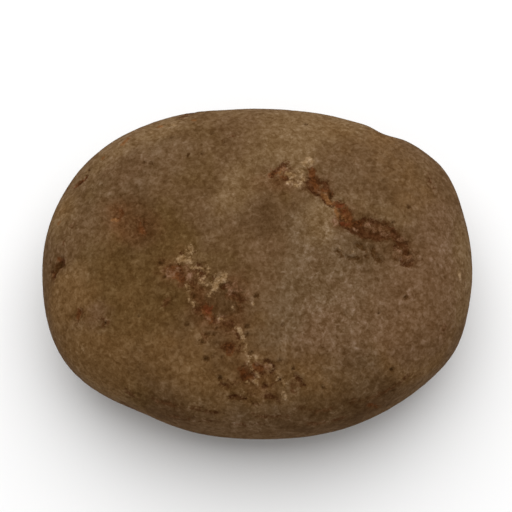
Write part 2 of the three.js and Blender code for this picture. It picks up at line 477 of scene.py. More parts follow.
# %% Veins
SEEN["vein"] = [
    [(269, 176, 1.0), (273, 172, 1.2), (278, 168, 1.0), (283, 165, 1.4), (287, 166, 0.8)],
    [(270, 177, 0.8), (274, 177, 0.8), (277, 178, 0.9)],
    [(282, 179, 1.0), (285, 180, 1.3), (288, 179, 0.8)], [(304, 188, 1.2)],
    [(316, 178, 1.2), (320, 182, 1.6), (325, 183, 2.2), (327, 188, 1.6)],
    [(308, 187, 1.2), (312, 189, 1.6), (316, 194, 1.4), (321, 195, 1.2)],
    [(331, 190, 0.9), (332, 195, 1.8), (330, 198, 0.9)],
    [(324, 200, 0.6), (327, 204, 0.7), (332, 207, 0.6), (336, 203, 0.9), (340, 201, 1.0), (343, 204, 0.9)],
    [(338, 208, 0.9), (340, 212, 1.0)],
    [(340, 219, 1.0), (342, 226, 1.4), (348, 228, 1.2), (352, 231, 1.1)],
    [(344, 220, 0.9), (343, 225, 0.9)], [(352, 232, 0.9), (357, 233, 1.6), (363, 235, 2.4)],
    [(361, 222, 1.6), (365, 218, 1.3)],
    [(355, 225, 2.0), (362, 229, 3.0), (368, 235, 4.0), (376, 236, 4.0), (381, 237, 3.5)],
    [(371, 221, 2.0), (375, 225, 2.4), (378, 223, 1.6)],
    [(381, 223, 1.0), (386, 226, 1.6), (390, 228, 2.0)],
    [(384, 237, 1.6), (388, 237, 1.6), (388, 233, 0.9)],
    [(391, 228, 2.0), (393, 233, 2.6), (394, 237, 1.6)],
    [(397, 238, 2.3), (400, 243, 3.0), (406, 244, 2.2), (405, 250, 2.4), (405, 253, 1.5), (409, 254, 1.3)],
    [(395, 247, 1.2), (396, 249, 1.1)],
    [(401, 260, 1.7), (404, 264, 1.6), (409, 265, 1.6), (412, 260, 1.1)],
    [(178, 269, 1.0), (182, 272, 1.6), (181, 278, 1.3)], [(171, 272, 0.9)], [(182, 253, 1.1)],
    [(195, 253, 0.9)], [(196, 265, 0.9), (200, 265, 0.9)], [(213, 276, 1.0), (215, 279, 0.9)],
    [(201, 271, 0.8), (202, 275, 0.9)], [(192, 281, 1.2), (194, 283, 1.0)],
    [(223, 287, 1.3), (229, 284, 0.9)], [(201, 289, 1.3)], [(192, 293, 0.9), (194, 297, 0.9)],
    [(196, 311, 1.6), (201, 309, 2.0), (200, 313, 1.6)], [(204, 304, 0.9), (208, 304, 0.9)],
    [(205, 317, 1.2)], [(214, 318, 1.0), (215, 322, 1.0)], [(222, 315, 1.0), (225, 316, 1.1)],
    [(226, 324, 1.0), (232, 323, 1.2)], [(232, 327, 1.1)], [(237, 334, 1.1), (239, 338, 1.1)],
    [(227, 331, 1.1)], [(233, 344, 0.9)], [(233, 294, 1.6), (240, 300, 1.3)], [(245, 300, 1.3)],
    [(242, 379, 1.6), (246, 375, 1.6)], [(251, 374, 0.9), (255, 378, 0.9)],
    [(262, 361, 0.6), (267, 361, 0.9), (271, 364, 1.0), (274, 370, 1.3), (271, 373, 1.0)],
    [(261, 373, 1.1)], [(265, 386, 1.6)], [(280, 380, 0.9)],
    [(296, 375, 1.4), (299, 379, 1.7), (303, 384, 1.6)], [(224, 385, 1.2)],
    [(230, 397, 0.9), (238, 396, 0.8), (245, 399, 0.9)], [(266, 396, 0.9), (271, 397, 1.1)],
    [(278, 400, 1.2)], [(60, 258, 1.8), (62, 264, 3.0), (57, 267, 2.2)],
    [(52, 271, 1.6), (54, 276, 2.2)], [(227, 346, 1.6), (231, 348, 2.8), (229, 352, 1.8)],
    [(308, 182, 1.4), (312, 186, 1.8), (310, 178, 1.0)], [(80, 312, 1.8)],
    [(75, 187, 0.8), (81, 182, 1.1), (86, 177, 1.3)], [(89, 170, 0.8)],
]
print("veins:", len(SEEN["vein"]))

# %% [markdown]
# ## Crusts
# Pale sandy cement clings along the cracks, in thin broken lines and small lumps. Each crust
# could be a mesh of its own, but it stands only a fraction of a millimetre proud, so it is
# raised from the same skin, with no joint to hide.

# %% Crusts
SEEN["crust"] = [
    [(304, 164, 2.2), (307, 161, 1.6)],
    [(308, 159, 0.9), (311, 160, 0.9), (312, 163, 0.8), (309, 166, 0.8)], [(294, 176, 1.4)],
    [(298, 170, 1.1)], [(286, 173, 1.0), (289, 174, 1.3), (291, 177, 1.0)],
    [(287, 183, 0.8), (291, 181, 0.9)], [(294, 184, 0.7), (297, 186, 0.6)], [(299, 180, 0.6)],
    [(301, 171, 0.8), (302, 175, 0.8)], [(304, 179, 0.6), (300, 184, 0.7)], [(340, 249, 0.8)],
    [(353, 251, 0.7)], [(186, 250, 0.9), (189, 247, 0.9), (193, 248, 0.8)],
    [(188, 252, 1.4), (191, 253, 1.3)], [(179, 258, 1.2), (184, 257, 1.2)],
    [(178, 262, 1.0), (184, 260, 1.7), (191, 261, 1.2)],
    [(192, 268, 0.8), (198, 268, 0.9), (203, 269, 0.9), (207, 273, 0.8)],
    [(206, 266, 0.8), (210, 269, 1.0), (208, 273, 0.9)], [(198, 275, 0.9)], [(203, 278, 1.4)],
    [(200, 281, 1.0), (204, 283, 0.9)],
    [(214, 276, 1.0), (217, 279, 1.7), (220, 280, 2.2), (217, 283, 2.3), (214, 286, 1.8)],
    [(222, 274, 0.9), (222, 278, 0.9)], [(226, 273, 0.7), (226, 277, 0.7), (223, 281, 0.9)],
    [(214, 285, 1.8), (215, 288, 2.2), (213, 291, 1.0)], [(207, 285, 0.9), (211, 284, 1.0)],
    [(211, 293, 0.8), (208, 296, 0.7)], [(187, 285, 0.9), (188, 290, 0.5)],
    [(190, 299, 0.5), (193, 302, 0.8), (194, 306, 0.4)], [(218, 318, 0.7), (221, 319, 0.7)],
    [(233, 308, 0.8)], [(253, 303, 1.2)],
    [(236, 327, 0.5), (240, 331, 0.5), (243, 335, 0.4), (243, 341, 0.4)],
    [(246, 345, 0.4), (245, 349, 0.6), (247, 351, 0.3)], [(247, 355, 0.4), (249, 358, 0.4)],
    [(252, 355, 0.5), (257, 359, 0.5)], [(248, 362, 0.8)], [(251, 366, 0.5), (252, 370, 0.4)],
    [(270, 366, 0.6), (272, 369, 0.8)], [(256, 373, 0.6), (258, 376, 0.6)],
    [(276, 372, 0.9), (279, 376, 1.0), (282, 379, 0.9), (283, 381, 0.7)], [(277, 378, 0.9)],
    [(283, 385, 1.1)], [(282, 391, 0.7)], [(285, 397, 1.0)], [(247, 382, 0.8)],
    [(254, 380, 0.5), (257, 384, 0.6)], [(243, 392, 1.1)], [(82, 346, 1.0), (84, 350, 1.1)],
    [(459, 272, 0.6), (460, 278, 0.6)], [(151, 132, 1.6)], [(174, 125, 1.3)],
]
print("crusts:", len(SEEN["crust"]))

# %% [markdown]
# ## Holes
# Where a grain fell out it left a dark pit. Most are single dots. The ragged specks beside the
# upper vein are chains of dots whose width changes from one to the next, because a single
# large dot would be too round for them.

# %% Holes
SEEN["hole"] = [
    [(247, 327, 2.0)], [(247, 335, 2.0)], [(251, 353, 1.5)], [(220, 378, 2.0)], [(206, 359, 2.1)],
    [(208, 334, 1.4)], [(214, 334, 1.3)], [(202, 342, 1.6)], [(217, 327, 1.2)], [(256, 296, 1.4)],
    [(406, 297, 1.5)], [(213, 356, 1.0)], [(222, 358, 1.1)], [(379, 313, 1.1)], [(294, 204, 0.9)],
    [(280, 361, 1.1)], [(282, 325, 1.0)], [(293, 369, 1.0)], [(188, 155, 1.4)], [(202, 153, 1.3)],
    [(306, 124, 1.2)], [(138, 316, 1.2)], [(105, 323, 1.3)], [(187, 325, 1.3)], [(224, 142, 1.4)],
    [(212, 133, 1.2)], [(144, 162, 1.2)], [(151, 163, 1.5)], [(172, 137, 1.2)], [(409, 207, 1.1)],
    [(392, 369, 1.4)], [(392, 391, 1.2)], [(323, 388, 1.2)],
    [(355, 243, 1.0), (361, 247, 1.8), (365, 250, 1.1)],
    [(372, 248, 1.4), (374, 254, 2.2), (378, 259, 2.2), (382, 262, 1.2)],
    [(336, 250, 1.0), (340, 252, 1.4)], [(341, 256, 1.2)], [(346, 256, 1.1), (350, 258, 1.7)],
    [(354, 258, 1.5), (358, 259, 1.0)], [(366, 256, 1.3)], [(329, 191, 0.9), (331, 197, 0.8)],
    [(60, 264, 2.4), (55, 271, 1.9)], [(194, 296, 1.2)], [(161, 263, 2.0)], [(165, 277, 1.2)],
    [(393, 222, 0.9)],
]
print("holes:", len(SEEN["hole"]))

# %% [markdown]
# ## The sides that nobody saw
# The back, the flanks and the belly aren't in the photograph, so their marks are made up, of the
# same kinds and sizes. Left plain, they would look unfinished when the stone is turned over.
# Each point is a bearing round the stone from its right-hand end, a height angle, which is
# below zero under its middle, and half the stroke's width in millimetres.

# %% Scars on the hidden sides
HIDDEN = {
    "stain": [
        [(118, 18, 0.5), (113, 13, 0.9), (108, 9, 0.7), (101, 3, 1.2), (96, -4, 0.7), (93, -12, 0.5)],
        [(24, -14, 0.6), (17, -20, 1.0), (8, -24, 0.7), (2, -31, 1.2), (-8, -33, 0.6)],
        [(195, -9, 0.5), (201, -14, 0.9), (200, -20, 0.6), (208, -23, 1.1), (206, -30, 0.5)],
        [(240, -38, 0.5), (256, -44, 0.9), (270, -46, 0.6), (284, -51, 1.2), (304, -47, 0.5)],
        [(62, 9, 0.4), (57, 2, 0.8), (59, -6, 0.4)],
        [(156, -24, 0.5), (163, -31, 1.1), (172, -33, 0.8), (176, -41, 0.5)],
        [(226, 2, 0.5), (229, -3, 0.7)], [(317, -8, 0.5), (322, -12, 0.8), (320, -17, 0.4)],
    ],
    "rust": [
        [(109, 9, 0.5), (102, 3, 0.7), (98, -2, 0.3)],
        [(11, -23, 0.5), (4, -29, 0.8), (-4, -32, 0.4)],
        [(262, -45, 0.4), (280, -50, 0.8), (290, -50, 0.4)], [(201, -15, 0.4), (204, -21, 0.6)],
    ],
    "vein": [
        [(115, 15, 0.3), (109, 8, 0.5), (104, 6, 0.2)], [(99, 0, 0.4), (95, -5, 0.2)],
        [(18, -20, 0.3), (12, -24, 0.4)], [(2, -30, 0.5), (-5, -32, 0.3)],
        [(207, -23, 0.4), (207, -27, 0.2)], [(252, -43, 0.3), (262, -46, 0.4)],
        [(278, -50, 0.5), (287, -50, 0.3)], [(163, -31, 0.5), (168, -33, 0.3)],
    ],
    "crust": [
        [(105, 8, 0.3), (102, 7, 0.4)], [(98, 2, 0.3)],
        [(140, -6, 0.5), (146, -11, 0.6), (150, -10, 0.3)], [(42, -10, 0.5), (37, -15, 0.3)],
        [(8, -27, 0.3), (3, -26, 0.4)], [(268, -48, 0.3), (276, -46, 0.4)], [(222, -33, 0.4)],
        [(228, -37, 0.6), (230, -36, 0.4)], [(232, -42, 0.3)], [(199, -18, 0.3)],
    ],
    "hole": [
        [(80, 10, 0.4)], [(72, -8, 0.3)], [(130, -14, 0.5)], [(136, 4, 0.3)], [(180, -22, 0.4)],
        [(330, -20, 0.4)], [(350, -36, 0.5)], [(240, -30, 0.3)], [(246, -12, 0.3)],
    ],
}
print("hidden strokes:", sum(len(strokes) for strokes in HIDDEN.values()))

# %% [markdown]
# ## How far inside a stroke
# For every corner of the skin each kind of stroke gives its reach: how far inside the nearest
# stroke's edge the corner lies, in millimetres, and below zero outside. Reach changes smoothly, so
# the skin carries it well, and the material can still cut a crisp, ragged edge from it by
# adding fine noise before it compares. One more value, scarred, is high in and round every
# stain and vein, where the whole surface is rougher.

# %% Measure the reach of every stroke
FARTHEST = 4.0  # millimetres outside a stroke, past which reach no longer falls
SCAR_HALO = 1.4  # millimetres round a stroke in which the stone is still rough


def placed_strokes(name):
    seen = [[(seen_at(x, y), half * PIXEL + WORN) for x, y, half in stroke] for stroke in SEEN[name]]
    unseen = [[(hidden_at(*at), half) for *at, half in stroke] for stroke in HIDDEN.get(name, [])]
    return seen + unseen


def reach_of(points, strokes):
    reach = np.full(len(points), -FARTHEST)
    for stroke in strokes:
        # each point is paired with the next, and a dot with itself
        for (start, half0), (end, half1) in zip(stroke, stroke[1:] or stroke):
            run = np.array(end - start)
            over = points - np.array(start)
            along = np.clip(over @ run / max(run @ run, TINY), 0, 1)
            away = np.linalg.norm(over - along[:, None] * run, axis=1)
            reach = np.maximum(reach, half0 + along * (half1 - half0) - away)
    return reach


marks = {}
for name in SEEN:
    marks[name] = reach_of(corners, placed_strokes(name))
    print(name, "covers", f"{(marks[name] > 0).mean():.2%}", "of the skin")
marks["scarred"] = np.clip(np.maximum(marks["stain"], marks["vein"]) / SCAR_HALO + 1.0, 0, 1)

# %% [markdown]
# ## Soft films of colour
# Between its veins the stone carries broad films with no edge: an olive film where silt stayed,
# a cooler grey where the bare grain shows, and paler, warmer, redder or darker patches. The
# darker film also lies along the lower rim, where it is painted shade. The films are drawn as
# soft dabs, because a noise alone would put them in the wrong places. Each dab is a pixel of the
# photograph, how far it spreads in millimetres, and how strong it is.

# %% Dab on the films
FILMS = {
    "olive": [
        (120, 255, 6, 0.9), (150, 258, 6, 0.9), (115, 285, 8, 0.7), (160, 295, 8, 1.0),
        (130, 320, 8, 0.6), (178, 235, 4, 0.8), (95, 255, 4, 0.5), (200, 172, 6, 0.7),
        (155, 212, 4, 0.6), (215, 300, 3, 0.8), (215, 262, 5, 0.5), (250, 262, 5, 0.4),
        (85, 195, 5, 0.5), (100, 190, 3, 0.5), (200, 395, 6, 0.5), (295, 388, 3.5, 0.9),
        (420, 345, 5, 0.1), (430, 365, 5, 0.3), (95, 372, 4, 0.8), (265, 335, 5, 0.5),
        (345, 405, 7, 0.6), (360, 215, 1.6, 0.7), (287, 195, 2, 0.6), (340, 196, 1.5, 0.6),
        (190, 125, 4, 0.5), (160, 140, 3, 0.5), (215, 135, 3, 0.5), (120, 385, 4, 0.9),
        (140, 400, 4, 0.8), (60, 235, 3, 0.5),
    ],
    "cool": [
        (345, 295, 8, 0.8), (310, 300, 6, 0.7), (335, 320, 6, 1.0), (350, 335, 5, 0.9),
        (310, 325, 6, 0.7), (365, 270, 6, 0.5), (330, 265, 6, 0.5), (318, 226, 5, 1.4),
        (345, 242, 5, 0.5), (320, 240, 5, 1.0), (300, 275, 5, 0.4), (150, 150, 8, 0.4),
        (120, 170, 8, 0.5), (195, 145, 5, 0.3), (100, 215, 7, 0.4), (340, 175, 5, 0.5),
        (210, 215, 5, 0.2), (245, 225, 6, 0.3), (250, 412, 6, 0.6), (290, 340, 5, 0.5),
        (450, 260, 6, 0.7), (445, 225, 5, 0.5), (385, 210, 4, 0.4), (400, 225, 3, 0.4),
        (95, 314, 2.6, 0.6), (385, 340, 8, 0.4), (350, 362, 8, 0.4), (290, 372, 6, 0.4),
        (405, 320, 5, 0.3),
    ],
    "cream": [
        (300, 130, 6, 0.6), (320, 118, 4, 1.7), (345, 124, 4, 1.0), (317, 128, 5, 0.5),
        (245, 114, 4, 0.2), (280, 113, 4, 0.6), (280, 140, 5, 0.5), (262, 155, 5, 0.4),
        (300, 155, 4, 0.5), (232, 195, 4.5, 0.7), (228, 210, 3, 0.3), (250, 170, 4, 0.3),
        (167, 125, 4, 0.9), (150, 137, 3, 0.5), (106, 155, 4, 0.8), (120, 144, 4, 0.8),
        (137, 134, 4, 0.7), (62, 208, 4, 0.7), (54, 228, 4, 0.6), (240, 180, 4, 0.3),
        (70, 283, 4, 0.9), (80, 273, 2.5, 0.6), (465, 233, 4, 1.0), (466, 262, 4, 0.8),
        (463, 284, 5, 1.6), (92, 172, 4, 0.5), (320, 205, 3, 0.6), (335, 215, 2, 0.7),
        (460, 308, 4, 0.7), (205, 405, 4, 0.6), (372, 302, 2, 0.6), (296, 178, 3, 0.5),
        (182, 262, 2.5, 0.5), (290, 400, 2, 0.5), (62, 212, 3, 0.4), (250, 348, 3, 0.4),
        (402, 225, 4, 0.6), (380, 215, 3, 0.5), (350, 202, 4, 0.5), (212, 252, 4, 0.3),
        (214, 303, 3, 0.4), (250, 400, 4, 0.4), (318, 229, 4, 0.8), (100, 232, 5, 0.4),
        (98, 260, 5, 0.1), (425, 175, 4, 0.4), (101, 385, 5, 1.4), (428, 333, 5, 0.9),
        (75, 338, 4, 0.4),
    ],
    "warm": [
        (400, 185, 8, 0.3), (390, 165, 6, 0.2), (420, 200, 6, 0.3), (405, 265, 5, 0.3),
        (340, 130, 6, 0.5), (170, 370, 7, 0.6), (190, 345, 5, 0.3), (140, 345, 6, 0.3),
        (65, 290, 5, 1.1), (85, 300, 4, 0.6), (58, 308, 3, 0.7), (115, 230, 4, 0.5),
        (385, 138, 3, 0.7), (215, 120, 5, 0.3), (62, 210, 3, 0.9), (160, 330, 5, 0.2),
        (330, 385, 6, 0.6), (240, 355, 3, 0.4), (430, 310, 5, 0.3), (205, 395, 5, 0.5),
        (250, 320, 3, 0.4), (62, 345, 5, 0.6), (455, 190, 4, 0.5), (180, 250, 3, 0.5),
        (101, 375, 6, 1.2), (95, 350, 5, 0.8), (422, 335, 6, 1.0), (430, 355, 5, 0.9),
        (400, 360, 6, 0.8), (255, 388, 6, 0.8), (300, 360, 6, 0.5), (120, 290, 6, 0.3),
        (215, 365, 5, 0.3),
    ],
    "pink": [
        (428, 275, 8, 0.9), (432, 240, 6, 0.6), (440, 212, 5, 0.6), (425, 310, 6, 0.8),
        (400, 355, 6, 0.5), (380, 320, 6, 0.4), (95, 314, 3, 0.9), (365, 280, 6, 0.4),
        (330, 345, 6, 0.5), (300, 345, 5, 0.3), (150, 165, 6, 0.4), (110, 180, 6, 0.4),
        (258, 250, 5, 0.4), (345, 175, 5, 0.4), (235, 285, 3, 0.5), (315, 262, 5, 0.3),
        (240, 215, 6, 0.3), (200, 275, 3, 0.5), (320, 320, 6, 0.4), (60, 250, 3, 0.3),
        (428, 335, 6, 0.8), (95, 240, 6, 0.4),
    ],
    "red": [
        (120, 213, 3.3, 1.0), (142, 230, 3.6, 1.2), (130, 222, 3.2, 0.7), (345, 215, 2.6, 0.9),
        (318, 185, 3, 0.7), (370, 230, 4, 0.5), (398, 242, 3.4, 0.5), (176, 272, 3.4, 1.0),
        (206, 311, 3.4, 1.0), (230, 325, 3.5, 0.6), (237, 290, 3.5, 0.8), (230, 347, 2.6, 0.4),
        (250, 370, 4, 0.5), (280, 185, 3, 0.6), (440, 280, 6, 0.2), (385, 350, 5, 0.2),
        (375, 405, 3, 0.9), (265, 392, 4, 0.3), (350, 300, 2.5, 0.3), (200, 292, 2, 0.5),
        (445, 328, 3, 0.4), (96, 315, 2.4, 0.4), (170, 415, 5, 0.5), (262, 180, 3, 0.3),
    ],
    # darker patches; the dabs at the lower rim, rows 390 and below, are painted shade
    "dark_and_shade": [
        (140, 205, 5, 0.4), (145, 232, 4, 0.4), (125, 200, 4, 0.2), (150, 260, 6, 0.2),
        (130, 248, 4, 0.3), (262, 215, 5, 0.6), (275, 232, 5, 0.2), (232, 297, 3.5, 0.9),
        (210, 305, 4, 0.6), (180, 300, 6, 0.1), (225, 340, 4, 0.2), (60, 266, 2.4, 0.5),
        (78, 316, 2.4, 0.5), (245, 374, 4, 0.4), (225, 388, 4, 0.1), (295, 382, 3, 0.4),
        (372, 235, 4.5, 0.5), (400, 244, 3.4, 0.5), (318, 186, 3, 0.6), (345, 217, 3, 0.3),
        (432, 180, 2.6, 0.35), (360, 358, 3, 0.2), (353, 255, 4, 0.3), (365, 258, 3, 0.3),
        (140, 160, 6, 0.4), (245, 150, 6, 0.3), (167, 411, 6, 0.8), (355, 413, 8, 0.8),
        (300, 430, 5, 0.5), (389, 392, 4, 0.5), (350, 160, 5, 0.3), (387, 180, 5, 0.4),
        (210, 235, 4, 0.3), (172, 285, 4, 0.3), (425, 226, 4, 0.3), (353, 359, 4, 0.2),
        (283, 411, 4, 0.3), (209, 359, 4, 0.3), (173, 333, 5, 0.35), (209, 203, 4, 0.3),
        (212, 127, 4, 0.3), (372, 234, 4, 0.2),
    ],
}
print("dabs:", sum(len(dabs) for dabs in FILMS.values()))

# %% [markdown]
# ## Films on the hidden sides
# The films go on round the stone, so that no side is plainer than another. Each of these dabs is
# a bearing, a height angle, a spread in millimetres and a strength. They are made up, and wider
# than the photographed ones, because nothing small is known there.

# %% Dab on the hidden sides
HIDDEN_FILMS = {
    "olive": [
        (150, -5, 9, 0.9), (88, 5, 7, 0.7), (345, -30, 9, 0.8), (250, -35, 9, 0.7),
        (40, -50, 10, 0.8),
    ],
    "cool": [
        (120, -15, 9, 0.9), (15, -8, 8, 0.6), (215, -20, 8, 0.8), (300, -30, 9, 0.9),
        (180, -60, 12, 0.8),
    ],
    "cream": [
        (105, 20, 7, 0.5), (55, 12, 7, 0.5), (195, -5, 6, 0.6), (330, -12, 6, 0.4), (90, -35, 7, 0.6),
    ],
    "warm": [
        (70, -5, 8, 0.9), (170, -20, 8, 0.9), (235, -12, 7, 0.8), (320, -22, 8, 0.8),
        (20, -35, 8, 0.7),
    ],
    "pink": [
        (30, 0, 8, 0.8), (135, 8, 7, 0.7), (270, -25, 8, 0.6), (205, -35, 8, 0.7),
    ],
    "red": [
        (100, 2, 4, 0.9), (6, -28, 5, 0.9), (205, -22, 4, 0.8), (275, -48, 6, 0.9),
        (168, -32, 4, 0.6),
    ],
    "dark_and_shade": [
        (80, -25, 10, 0.6), (160, -38, 10, 0.7), (355, -45, 10, 0.7), (260, -55, 10, 0.6),
        (228, -30, 7, 0.5),
    ],
}
print("hidden dabs:", sum(len(dabs) for dabs in HIDDEN_FILMS.values()))

# %% [markdown]
# ## Films, notch and painted lower shade on the skin
# Each dab fades outwards as a bell curve, and dabs add up where they meet. The same dabs make the
# small notch in the outline at the upper right: two sink the edge, and one of negative strength
# swells it beside them. The last value, lower shade, rises from the waist down to the foot, and
# darkens the stone's lower side there as painted shade.

# %% Measure the films
NICKS = [(57, 9, 4.0, 0.45), (47, 9, 2.6, 1.0), (40, 9, 3.6, -0.45)]
# painted shade on the lower side starts at the first height and is full at the second
LOWER_SHADE_START = 15.0  # millimetres above the floor
LOWER_SHADE_END = 3.0


def film_of(points, dabs):
    film = np.zeros(len(points))
    for centre, spread, strength in dabs:
        away = np.linalg.norm(points - np.array(centre), axis=1)
        film += strength * np.exp(-((away / spread) ** 2))
    return film


def hidden_dabs(dabs):
    return [(hidden_at(bearing, rise), *dab) for bearing, rise, *dab in dabs]


for name in FILMS:
    seen_dabs = [(seen_at(x, y), *dab) for x, y, *dab in FILMS[name]]
    marks[name] = film_of(corners, seen_dabs + hidden_dabs(HIDDEN_FILMS[name]))
    print(name, "film is strongest at", round(marks[name].max(), 2))
marks["nick"] = film_of(corners, hidden_dabs(NICKS))
# painted shade: the lower side darkens from the waist down to the foot
marks["lower_shade"] = np.clip((LOWER_SHADE_START - corners[:, 2]) / (LOWER_SHADE_START - LOWER_SHADE_END), 0, 1)

# %% [markdown]
# ## Carry the marks on the mesh
# An attribute holds one number for each corner of the skin. The relief and the material both read
# it by its name, and it moves with the mesh. Vertex groups could carry marks too, but they
# only hold values from 0 to 1, and reach goes below zero.

# %% Store the marks on the skin
for name, values in marks.items():
    skin.attributes.new(name, "FLOAT", "POINT").data.foreach_set("value", values)
print("stored:", ", ".join(marks))

# %% [markdown]
# ## The weathered surface
# Up close the stone is neither smooth nor evenly rough. It has low lumps, a fine tooth from its
# sand grains, scattered pits where grains fell out, sunken veins with ragged floors, and crusts
# that stand a little proud. A bump in the material alone would leave its outline smooth,
# so a second tree really moves the skin. It needs two helpers: noise that swings evenly round
# zero, and a way to read a stored mark.


# %% Noise and stored marks
def noise(tree, spacing, seed, detail=2.0, roughness=0.5, place=None, curl=0.0):
    sockets = {"Scale": calc(tree, "DIVIDE", 1.0, spacing), "W": seed, "Distortion": curl}
    sockets.update({"Detail": detail, "Roughness": roughness})
    if place is not None:
        sockets["Vector"] = place
    made = add_node(tree, "ShaderNodeTexNoise", sockets, noise_dimensions="4D")
    return calc(tree, "SUBTRACT", made.outputs["Fac"], 0.5)


def stored(tree, name):
    return add_node(tree, "GeometryNodeInputNamedAttribute", {"Name": name}).outputs["Attribute"]


print("helpers: noise, stored")

# %% [markdown]
# ## Scattered pits
# Lost grains leave small bowls all over the stone, more in some patches than in others. Noise
# alone gives waves, not bowls. A Voronoi texture divides space into cells with a centre each, so
# a bowl is dug at each centre, with a radius that its cell draws by chance.

# %% Dig the pits
PIT_CHANCE = (0.45, 1.0)  # a cell that draws less than the first gets the smallest pit
PIT_RADIUS = (0.02, 0.42)  # smallest and largest radius, in cells
PIT_WALL = (1.0, 0.2)  # where a bowl starts and where its flat floor does, in radii
PATCH_CELLS = 5.0  # how many cells wide the patches of deeper pits are
PATCH_EDGE = (-0.1, 0.12)  # the noise at which a patch starts and is full
PATCH_DEPTH = (0.25, 1.0)  # share of a bowl's depth outside and inside a patch


def pits(tree, spacing, seed):
    scale = calc(tree, "DIVIDE", 1.0, spacing)
    cells = add_node(tree, "ShaderNodeTexVoronoi", {"Scale": scale, "W": seed}, voronoi_dimensions="4D")
    chance = add_node(tree, "ShaderNodeSeparateXYZ", {0: cells.outputs["Color"]}).outputs[0]
    radius = steps(tree, chance, *PIT_CHANCE, *PIT_RADIUS)
    bowl = steps(tree, calc(tree, "DIVIDE", cells.outputs["Distance"], radius), *PIT_WALL)
    patches = noise(tree, calc(tree, "MULTIPLY", spacing, PATCH_CELLS), seed)
    return calc(tree, "MULTIPLY", bowl, steps(tree, patches, *PATCH_EDGE, *PATCH_DEPTH))


print("pits are up to", PIT_RADIUS[1], "of a cell in radius")

# %% [markdown]
# ## The sum of heights
# Every feature adds or takes a height, and the sum says how far each corner of the skin moves.
# A displacement picture would do the same, but only as finely as its pixels. A noise added to
# the reach of veins and crusts makes their edges ragged before they are cut.

# %% Add up the heights
RELIEF = {
    "Lump Height": 0.24 * MM,
    "Lump Spacing": 11 * MM,
    "Tooth Height": 0.12 * MM,
    "Tooth Spacing": 1.5 * MM,
    "Pit Depth": 0.18 * MM,
    "Pit Spacing": 2.3 * MM,
    "Vein Depth": 0.36 * MM,
    "Hole Depth": 0.22 * MM,
    "Crust Height": 0.14 * MM,
    "Nick Depth": 0.55 * MM,
}
RELIEF_SEED = 7.0
RAGGED_SPACING = 0.8 * MM
RAGGED_WIDTH = 1.8  # millimetres of reach that the full swing of the noise stands for
VEIN_EDGE = (-0.35, 0.45)  # millimetres of reach from the untouched stone to full depth
HOLE_EDGE = (-0.1, 0.2)
CRUST_EDGE = (-0.25, 0.4)
SCAR_ROUGHENING = 1.4


def weathered_height(tree, given):
    seed = given["Seed"]
    ragged = noise(tree, RAGGED_SPACING, seed, detail=3.0, roughness=0.65)
    ragged = calc(tree, "MULTIPLY", ragged, RAGGED_WIDTH)
    crack = calc(tree, "MAXIMUM", stored(tree, "rust"), stored(tree, "vein"))
    vein = steps(tree, calc(tree, "ADD", crack, ragged), *VEIN_EDGE)
    hole = steps(tree, stored(tree, "hole"), *HOLE_EDGE)
    crust = steps(tree, calc(tree, "ADD", stored(tree, "crust"), ragged), *CRUST_EDGE)
    pitted = calc(tree, "MAXIMUM", pits(tree, given["Pit Spacing"], seed), hole)
    height = calc(tree, "MULTIPLY", noise(tree, given["Lump Spacing"], seed), given["Lump Height"])
    tooth = noise(tree, given["Tooth Spacing"], seed, detail=4.0, roughness=0.62)
    roughened = calc(tree, "MULTIPLY_ADD", stored(tree, "scarred"), SCAR_ROUGHENING, 1.0)
    tooth = calc(tree, "MULTIPLY", tooth, roughened)
    height = calc(tree, "MULTIPLY_ADD", tooth, given["Tooth Height"], height)
    height = calc(tree, "MULTIPLY_ADD", crust, given["Crust Height"], height)
    nick = stored(tree, "nick")
    dents = {"Pit Depth": pitted, "Vein Depth": vein, "Hole Depth": hole, "Nick Depth": nick}
    for depth, dent in dents.items():
        height = calc(tree, "SUBTRACT", height, calc(tree, "MULTIPLY", dent, given[depth]))
    return height, pitted


print("the veins are sunk by", round(RELIEF["Vein Depth"] / MM, 2), "mm")

# %% [markdown]
# ## Move the skin
# The skin is moved along its own normals by the sum of heights, and the pits are stored as one
# more mark for the material. Then every corner is held inside the part's box, so that no grain
# stands past the part's size and the stone rests flat on the floor. Flat shading would show
# the squares, so the skin is shaded smooth.


# %% Weather the stone
def relief_tree():
    takes = {"Skin": GEOMETRY, **{name: FLOAT for name in RELIEF}, "Seed": FLOAT}
    takes.update({"Lowest": VECTOR, "Highest": VECTOR})
    tree, given, result = new_tree("weathered_relief", "GeometryNodeTree", takes, {"Stone": GEOMETRY})
    height, pitted = weathered_height(tree, given)
    keep = {"Geometry": given["Skin"], "Name": "pitted", "Value": pitted}
    kept = add_node(tree, "GeometryNodeStoreNamedAttribute", keep, data_type="FLOAT", domain="POINT")
    normal = add_node(tree, "GeometryNodeInputNormal").outputs[0]
    offset = vector_calc(tree, "SCALE", normal, Scale=height)
    pushed = {"Geometry": kept.outputs[0], "Offset": offset}
    moved = add_node(tree, "GeometryNodeSetPosition", pushed)
    place = add_node(tree, "GeometryNodeInputPosition").outputs[0]
    above = vector_calc(tree, "MAXIMUM", place, given["Lowest"])
    inside = vector_calc(tree, "MINIMUM", above, given["Highest"])
    laid = {"Geometry": moved.outputs[0], "Position": inside}
    held = add_node(tree, "GeometryNodeSetPosition", laid)
    smooth = add_node(tree, "GeometryNodeSetShadeSmooth", {"Geometry": held.outputs[0]})
    close_tree(tree, smooth.outputs[0], stone, result["Stone"])
    return tree


pebble = bpy.data.objects.new("river_pebble", skin)
bpy.context.collection.objects.link(pebble)
weathering = {**RELIEF, "Seed": RELIEF_SEED, "Lowest": low, "Highest": high}
pebble.data = run_tree(relief_tree(), pebble, weathering)
pebble.data.name = "river_pebble"
print("the pebble has", sum(len(p.vertices) - 2 for p in pebble.data.polygons), "triangles")

